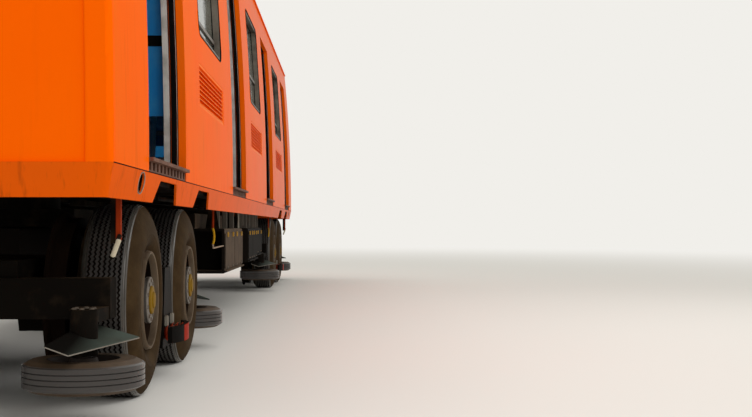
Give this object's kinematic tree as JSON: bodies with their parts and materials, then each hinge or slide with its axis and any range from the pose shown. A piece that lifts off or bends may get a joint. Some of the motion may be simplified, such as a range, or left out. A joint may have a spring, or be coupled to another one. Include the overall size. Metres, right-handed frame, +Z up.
{
  "type": "rubber-tyred metro car",
  "caption": "Rubber-tyred metro car with four double sliding doors a side, two swivelling bogies, guide wheels and couplers.",
  "frame": {"origin": "on the running surface, under the middle of the car", "axes": "+X along the car towards end B, +Y towards the left side, +Z up"},
  "size_m": [16.37, 2.544, 3.657],
  "materials": {
    "body_paint": "gloss",
    "skirt_paint": "satin",
    "roof_paint": "satin",
    "grille_paint": "satin",
    "frame_paint": "matt",
    "bogie_paint": "matt",
    "box_paint": "matt",
    "sill_metal": "worn",
    "trim_metal": "satin",
    "wheel_steel": "worn",
    "tube_steel": "satin",
    "lining_blue": "satin",
    "ceiling_white": "satin",
    "floor_cover": "matt",
    "seat_plastic": "satin",
    "glass": "clear",
    "tyre_rubber": "dusty",
    "shoe_gear": "matt"
  },
  "bodies": {
    "root": {"air_tanks": "box_paint", "ceiling": "ceiling_white", "door_rails": "trim_metal", "door_sills": "sill_metal", "end_walls": "body_paint", "equipment_boxes": "box_paint", "floor": "floor_cover", "grilles": "grille_paint", "letterboards": "body_paint", "linings": "lining_blue", "roof": "roof_paint", "seat_legs_and_poles": "tube_steel", "seats": "seat_plastic", "side_panels_left": "body_paint", "side_panels_right": "body_paint", "skirts": "skirt_paint", "underbody_brackets": "frame_paint", "underframe": "frame_paint", "window_frames": "trim_metal", "window_glass": "glass"},
    "bogie_a": {"bogie_frame_a": "bogie_paint", "bogie_fittings_a": "shoe_gear"},
    "wheels_a1": {"wheelset_a1": "wheel_steel", "tyres_a1": "tyre_rubber"},
    "wheels_a2": {"wheelset_a2": "wheel_steel", "tyres_a2": "tyre_rubber"},
    "guide_wheel_a1": {"guide_wheel_a1": "tyre_rubber"},
    "guide_wheel_a2": {"guide_wheel_a2": "tyre_rubber"},
    "guide_wheel_a3": {"guide_wheel_a3": "tyre_rubber"},
    "guide_wheel_a4": {"guide_wheel_a4": "tyre_rubber"},
    "coupler_a": {"coupler_a": "wheel_steel"},
    "end_door_a": {"end_door_a": "body_paint"},
    "bogie_b": {"bogie_frame_b": "bogie_paint", "bogie_fittings_b": "shoe_gear"},
    "wheels_b1": {"wheelset_b1": "wheel_steel", "tyres_b1": "tyre_rubber"},
    "wheels_b2": {"wheelset_b2": "wheel_steel", "tyres_b2": "tyre_rubber"},
    "guide_wheel_b1": {"guide_wheel_b1": "tyre_rubber"},
    "guide_wheel_b2": {"guide_wheel_b2": "tyre_rubber"},
    "guide_wheel_b3": {"guide_wheel_b3": "tyre_rubber"},
    "guide_wheel_b4": {"guide_wheel_b4": "tyre_rubber"},
    "coupler_b": {"coupler_b": "wheel_steel"},
    "end_door_b": {"end_door_b": "body_paint"},
    "leaf_right_1a": {"leaf_right_1a": "body_paint"},
    "leaf_right_1b": {"leaf_right_1b": "body_paint"},
    "leaf_right_2a": {"leaf_right_2a": "body_paint"},
    "leaf_right_2b": {"leaf_right_2b": "body_paint"},
    "leaf_right_3a": {"leaf_right_3a": "body_paint"},
    "leaf_right_3b": {"leaf_right_3b": "body_paint"},
    "leaf_right_4a": {"leaf_right_4a": "body_paint"},
    "leaf_right_4b": {"leaf_right_4b": "body_paint"},
    "leaf_left_1a": {"leaf_left_1a": "body_paint"},
    "leaf_left_1b": {"leaf_left_1b": "body_paint"},
    "leaf_left_2a": {"leaf_left_2a": "body_paint"},
    "leaf_left_2b": {"leaf_left_2b": "body_paint"},
    "leaf_left_3a": {"leaf_left_3a": "body_paint"},
    "leaf_left_3b": {"leaf_left_3b": "body_paint"},
    "leaf_left_4a": {"leaf_left_4a": "body_paint"},
    "leaf_left_4b": {"leaf_left_4b": "body_paint"}
  },
  "joints": [
    {"name": "bogie_swivel_a", "type": "hinge", "parent": "root", "child": "bogie_a", "pos_m": [-5.5, 0, 1.045], "axis": [0, 0, 1], "range_deg": [-4, 4]},
    {"name": "axle_turn_a1", "type": "hinge", "parent": "bogie_a", "child": "wheels_a1", "pos_m": [-6.28, 0, 0.5], "axis": [0, 1, 0], "continuous": true},
    {"name": "axle_turn_a2", "type": "hinge", "parent": "bogie_a", "child": "wheels_a2", "pos_m": [-4.72, 0, 0.5], "axis": [0, 1, 0], "continuous": true},
    {"name": "guide_turn_a1", "type": "hinge", "parent": "bogie_a", "child": "guide_wheel_a1", "pos_m": [-7.19, -1, 0.225], "axis": [0, 0, 1], "continuous": true},
    {"name": "guide_turn_a2", "type": "hinge", "parent": "bogie_a", "child": "guide_wheel_a2", "pos_m": [-7.19, 1, 0.225], "axis": [0, 0, 1], "continuous": true},
    {"name": "guide_turn_a3", "type": "hinge", "parent": "bogie_a", "child": "guide_wheel_a3", "pos_m": [-3.81, -1, 0.225], "axis": [0, 0, 1], "continuous": true},
    {"name": "guide_turn_a4", "type": "hinge", "parent": "bogie_a", "child": "guide_wheel_a4", "pos_m": [-3.81, 1, 0.225], "axis": [0, 0, 1], "continuous": true},
    {"name": "coupler_swing_a", "type": "hinge", "parent": "root", "child": "coupler_a", "pos_m": [-7.35, 0, 0.845], "axis": [0, 0, 1], "range_deg": [-10, 10]},
    {"name": "end_door_hinge_a", "type": "hinge", "parent": "root", "child": "end_door_a", "pos_m": [-7.761, -0.326, 2.045], "axis": [0, 0, -1], "range_deg": [0, 90]},
    {"name": "bogie_swivel_b", "type": "hinge", "parent": "root", "child": "bogie_b", "pos_m": [5.5, 0, 1.045], "axis": [0, 0, 1], "range_deg": [-4, 4]},
    {"name": "axle_turn_b1", "type": "hinge", "parent": "bogie_b", "child": "wheels_b1", "pos_m": [4.72, 0, 0.5], "axis": [0, 1, 0], "continuous": true},
    {"name": "axle_turn_b2", "type": "hinge", "parent": "bogie_b", "child": "wheels_b2", "pos_m": [6.28, 0, 0.5], "axis": [0, 1, 0], "continuous": true},
    {"name": "guide_turn_b1", "type": "hinge", "parent": "bogie_b", "child": "guide_wheel_b1", "pos_m": [3.81, -1, 0.225], "axis": [0, 0, 1], "continuous": true},
    {"name": "guide_turn_b2", "type": "hinge", "parent": "bogie_b", "child": "guide_wheel_b2", "pos_m": [3.81, 1, 0.225], "axis": [0, 0, 1], "continuous": true},
    {"name": "guide_turn_b3", "type": "hinge", "parent": "bogie_b", "child": "guide_wheel_b3", "pos_m": [7.19, -1, 0.225], "axis": [0, 0, 1], "continuous": true},
    {"name": "guide_turn_b4", "type": "hinge", "parent": "bogie_b", "child": "guide_wheel_b4", "pos_m": [7.19, 1, 0.225], "axis": [0, 0, 1], "continuous": true},
    {"name": "coupler_swing_b", "type": "hinge", "parent": "root", "child": "coupler_b", "pos_m": [7.35, 0, 0.845], "axis": [0, 0, 1], "range_deg": [-10, 10]},
    {"name": "end_door_hinge_b", "type": "hinge", "parent": "root", "child": "end_door_b", "pos_m": [7.761, 0.326, 2.045], "axis": [0, 0, -1], "range_deg": [0, 90]},
    {"name": "door_right_1a", "type": "slide", "parent": "root", "child": "leaf_right_1a", "axis": [1, 0, 0], "range_m": [0, 0.65]},
    {"name": "door_right_1b", "type": "slide", "parent": "root", "child": "leaf_right_1b", "axis": [-1, 0, 0], "range_m": [0, 0.65]},
    {"name": "door_right_2a", "type": "slide", "parent": "root", "child": "leaf_right_2a", "axis": [1, 0, 0], "range_m": [0, 0.65]},
    {"name": "door_right_2b", "type": "slide", "parent": "root", "child": "leaf_right_2b", "axis": [-1, 0, 0], "range_m": [0, 0.65]},
    {"name": "door_right_3a", "type": "slide", "parent": "root", "child": "leaf_right_3a", "axis": [1, 0, 0], "range_m": [0, 0.65]},
    {"name": "door_right_3b", "type": "slide", "parent": "root", "child": "leaf_right_3b", "axis": [-1, 0, 0], "range_m": [0, 0.65]},
    {"name": "door_right_4a", "type": "slide", "parent": "root", "child": "leaf_right_4a", "axis": [1, 0, 0], "range_m": [0, 0.65]},
    {"name": "door_right_4b", "type": "slide", "parent": "root", "child": "leaf_right_4b", "axis": [-1, 0, 0], "range_m": [0, 0.65]},
    {"name": "door_left_1a", "type": "slide", "parent": "root", "child": "leaf_left_1a", "axis": [1, 0, 0], "range_m": [0, 0.65]},
    {"name": "door_left_1b", "type": "slide", "parent": "root", "child": "leaf_left_1b", "axis": [-1, 0, 0], "range_m": [0, 0.65]},
    {"name": "door_left_2a", "type": "slide", "parent": "root", "child": "leaf_left_2a", "axis": [1, 0, 0], "range_m": [0, 0.65]},
    {"name": "door_left_2b", "type": "slide", "parent": "root", "child": "leaf_left_2b", "axis": [-1, 0, 0], "range_m": [0, 0.65]},
    {"name": "door_left_3a", "type": "slide", "parent": "root", "child": "leaf_left_3a", "axis": [1, 0, 0], "range_m": [0, 0.65]},
    {"name": "door_left_3b", "type": "slide", "parent": "root", "child": "leaf_left_3b", "axis": [-1, 0, 0], "range_m": [0, 0.65]},
    {"name": "door_left_4a", "type": "slide", "parent": "root", "child": "leaf_left_4a", "axis": [1, 0, 0], "range_m": [0, 0.65]},
    {"name": "door_left_4b", "type": "slide", "parent": "root", "child": "leaf_left_4b", "axis": [-1, 0, 0], "range_m": [0, 0.65]}
  ],
  "couplings": [
    {"joint": "door_right_1b", "follows": "door_right_1a", "ratio": 1},
    {"joint": "door_right_2b", "follows": "door_right_2a", "ratio": 1},
    {"joint": "door_right_3b", "follows": "door_right_3a", "ratio": 1},
    {"joint": "door_right_4b", "follows": "door_right_4a", "ratio": 1},
    {"joint": "door_left_1b", "follows": "door_left_1a", "ratio": 1},
    {"joint": "door_left_2b", "follows": "door_left_2a", "ratio": 1},
    {"joint": "door_left_3b", "follows": "door_left_3a", "ratio": 1},
    {"joint": "door_left_4b", "follows": "door_left_4a", "ratio": 1}
  ]
}
